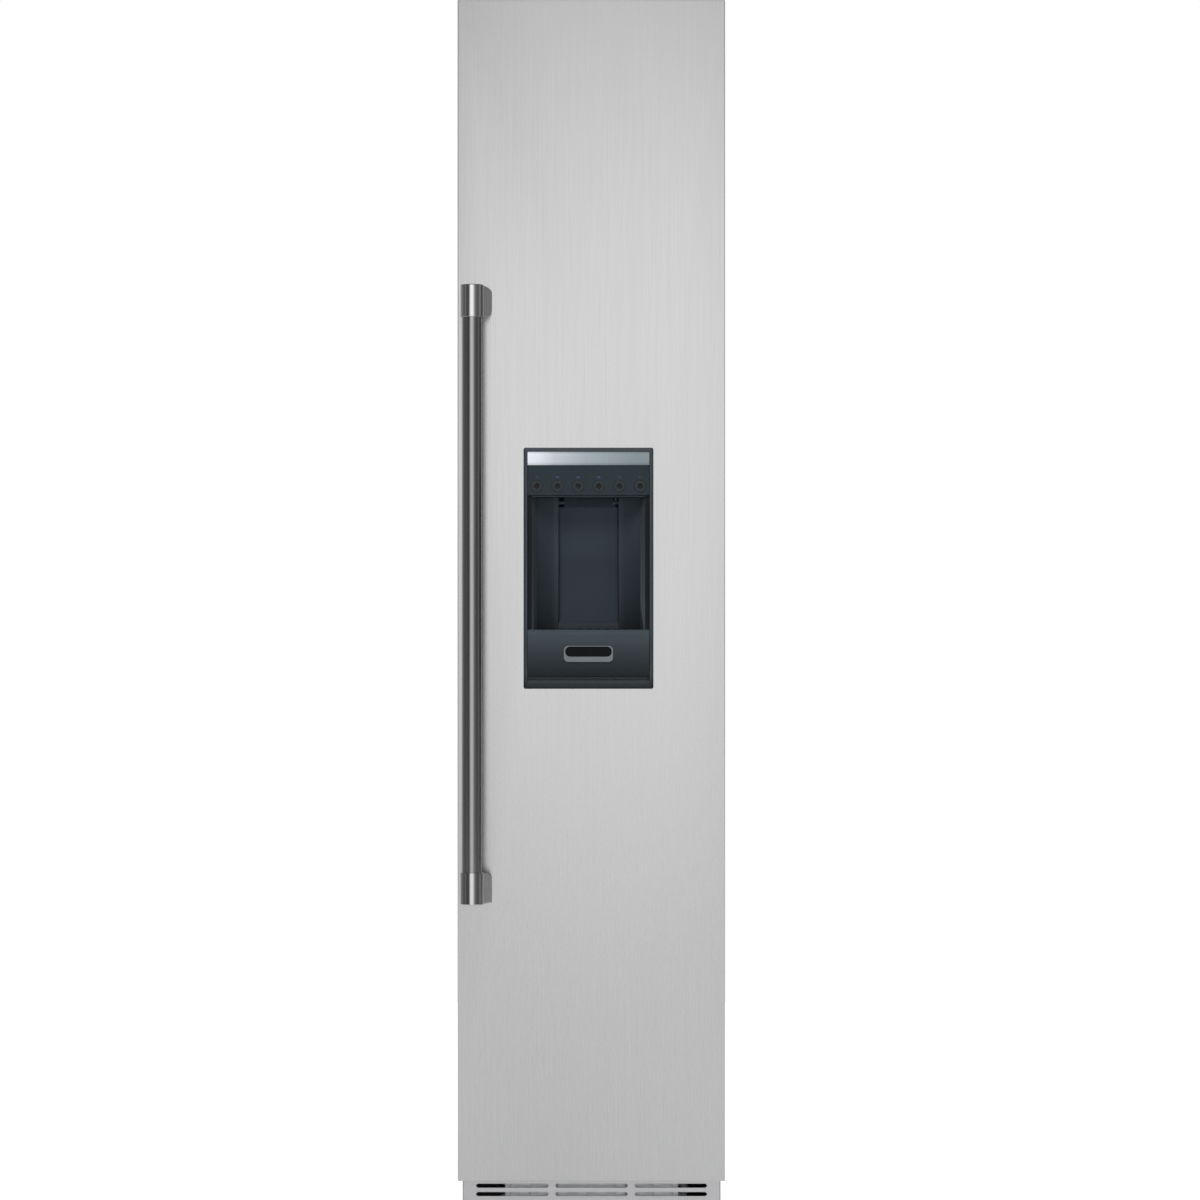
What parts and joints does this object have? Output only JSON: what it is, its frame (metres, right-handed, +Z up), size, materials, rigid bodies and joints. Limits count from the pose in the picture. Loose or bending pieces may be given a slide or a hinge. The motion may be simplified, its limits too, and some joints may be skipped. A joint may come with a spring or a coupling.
{
  "type": "built-in column freezer",
  "caption": "Tall narrow built-in freezer column with a flat stainless door, a tube handle, an ice and water dispenser in the door, drawers, shelves and ice making inside.",
  "frame": {"origin": "on the floor, at the middle of the footprint of the whole object, handle included", "axes": "+Z up, the front faces -Y, +X to the right of someone who faces the front"},
  "size_m": [0.451, 0.68, 2.127],
  "materials": {
    "brushed_steel": "satin",
    "polished_steel": "polished",
    "case_steel": "matte",
    "white_plastic": "satin",
    "clear_plastic": "gloss",
    "dark_plastic": "satin",
    "silver_trim": "satin",
    "foam": "matte",
    "rubber": "matte",
    "black_enamel": "satin",
    "black_plastic": "matte",
    "aluminium": "satin",
    "glass": "gloss"
  },
  "bodies": {
    "root": {"outer_wrapper": "case_steel", "cabinet_insulation": "foam", "inner_liner": "white_plastic", "back_panel": "aluminium", "machine_cover": "aluminium", "rear_inlets": "black_plastic", "base_frame": "case_steel", "levelling_foot_front_left": "black_enamel", "levelling_foot_front_right": "black_enamel", "levelling_foot_rear_left": "black_enamel", "levelling_foot_rear_right": "black_enamel", "toe_grille": "brushed_steel", "hinge_plate_top": "polished_steel", "hinge_plate_bottom": "polished_steel", "compressor": "black_enamel", "condenser": "aluminium", "evaporator": "aluminium", "fan_shroud": "black_plastic", "evaporator_cover": "white_plastic", "drain_pan": "black_plastic", "shelf_1": "glass", "shelf_2": "glass", "shelf_3": "glass", "ice_maker": "aluminium", "ice_container": "clear_plastic", "auger_motor": "white_plastic"},
    "condenser_fan": {"condenser_fan": "black_plastic"},
    "evaporator_fan": {"evaporator_fan": "black_plastic"},
    "ice_ejector": {"ice_ejector": "aluminium"},
    "ice_auger": {"ice_auger": "polished_steel"},
    "drawer_lower": {"drawer_lower": "clear_plastic"},
    "drawer_upper": {"drawer_upper": "clear_plastic"},
    "door": {"door_panel": "brushed_steel", "door_core": "foam", "door_shell": "case_steel", "hinge_bush_bottom": "dark_plastic", "hinge_bush_top": "dark_plastic", "door_liner": "white_plastic", "door_gasket": "rubber", "door_bin_1": "clear_plastic", "door_bin_2": "clear_plastic", "handle_tube": "brushed_steel", "handle_bracket_bottom": "polished_steel", "handle_bracket_top": "polished_steel", "dispenser_frame": "dark_plastic", "dispenser_strip": "silver_trim", "control_fascia": "dark_plastic", "niche_housing": "dark_plastic", "ice_chute": "white_plastic", "water_nozzle": "silver_trim"},
    "chute_flap": {"chute_flap": "white_plastic"},
    "paddle": {"paddle": "dark_plastic"},
    "drip_tray": {"drip_tray": "dark_plastic", "tray_grille": "dark_plastic"},
    "key_1": {"control_key_1": "dark_plastic"},
    "key_2": {"control_key_2": "dark_plastic"},
    "key_3": {"control_key_3": "dark_plastic"},
    "key_4": {"control_key_4": "dark_plastic"},
    "key_5": {"control_key_5": "dark_plastic"},
    "key_6": {"control_key_6": "dark_plastic"}
  },
  "joints": [
    {"name": "door_hinge", "type": "hinge", "parent": "root", "child": "door", "pos_m": [0.2075, -0.237, 0.16], "axis": [0, 0, 1], "range_deg": [0, 115]},
    {"name": "key_1_press", "type": "slide", "parent": "door", "child": "key_1", "axis": [0, 1, 0], "range_m": [0, 0.0012], "stiffness_N_per_m": 500, "springref_m": -0.0006},
    {"name": "key_2_press", "type": "slide", "parent": "door", "child": "key_2", "axis": [0, 1, 0], "range_m": [0, 0.0012], "stiffness_N_per_m": 500, "springref_m": -0.0006},
    {"name": "key_3_press", "type": "slide", "parent": "door", "child": "key_3", "axis": [0, 1, 0], "range_m": [0, 0.0012], "stiffness_N_per_m": 500, "springref_m": -0.0006},
    {"name": "key_4_press", "type": "slide", "parent": "door", "child": "key_4", "axis": [0, 1, 0], "range_m": [0, 0.0012], "stiffness_N_per_m": 500, "springref_m": -0.0006},
    {"name": "key_5_press", "type": "slide", "parent": "door", "child": "key_5", "axis": [0, 1, 0], "range_m": [0, 0.0012], "stiffness_N_per_m": 500, "springref_m": -0.0006},
    {"name": "key_6_press", "type": "slide", "parent": "door", "child": "key_6", "axis": [0, 1, 0], "range_m": [0, 0.0012], "stiffness_N_per_m": 500, "springref_m": -0.0006},
    {"name": "drip_tray_slide", "type": "slide", "parent": "door", "child": "drip_tray", "axis": [0, -1, 0], "range_m": [0, 0.065]},
    {"name": "paddle_hinge", "type": "hinge", "parent": "door", "child": "paddle", "pos_m": [-0.0048, -0.22, 1.2812], "axis": [1, 0, 0], "range_deg": [0, 6], "stiffness_Nm_per_rad": 1.5, "springref_deg": -5.73},
    {"name": "chute_flap_hinge", "type": "hinge", "parent": "door", "child": "chute_flap", "pos_m": [-0.0048, -0.166, 1.414], "axis": [-1, 0, 0], "range_deg": [0, 45]},
    {"name": "drawer_lower_slide", "type": "slide", "parent": "root", "child": "drawer_lower", "axis": [0, -1, 0], "range_m": [0, 0.157]},
    {"name": "drawer_upper_slide", "type": "slide", "parent": "root", "child": "drawer_upper", "axis": [0, -1, 0], "range_m": [0, 0.157]},
    {"name": "condenser_fan_spin", "type": "hinge", "parent": "root", "child": "condenser_fan", "pos_m": [0, 0.0644, 0.0863], "axis": [0, 1, 0], "continuous": true},
    {"name": "evaporator_fan_spin", "type": "hinge", "parent": "root", "child": "evaporator_fan", "pos_m": [0, 0.2482, 1.885], "axis": [0, 1, 0], "continuous": true},
    {"name": "ice_auger_spin", "type": "hinge", "parent": "root", "child": "ice_auger", "pos_m": [-0.0048, 0.05, 1.3835], "axis": [0, 1, 0], "continuous": true},
    {"name": "ice_ejector_spin", "type": "hinge", "parent": "root", "child": "ice_ejector", "pos_m": [0, 0.155, 1.665], "axis": [1, 0, 0], "continuous": true}
  ],
  "couplings": [
    {"joint": "chute_flap_hinge", "follows": "paddle_hinge", "ratio": 7.5},
    {"joint": "drawer_lower_slide", "follows": "door_hinge", "m_per_rad": 0.078},
    {"joint": "drawer_upper_slide", "follows": "door_hinge", "m_per_rad": 0.078}
  ]
}
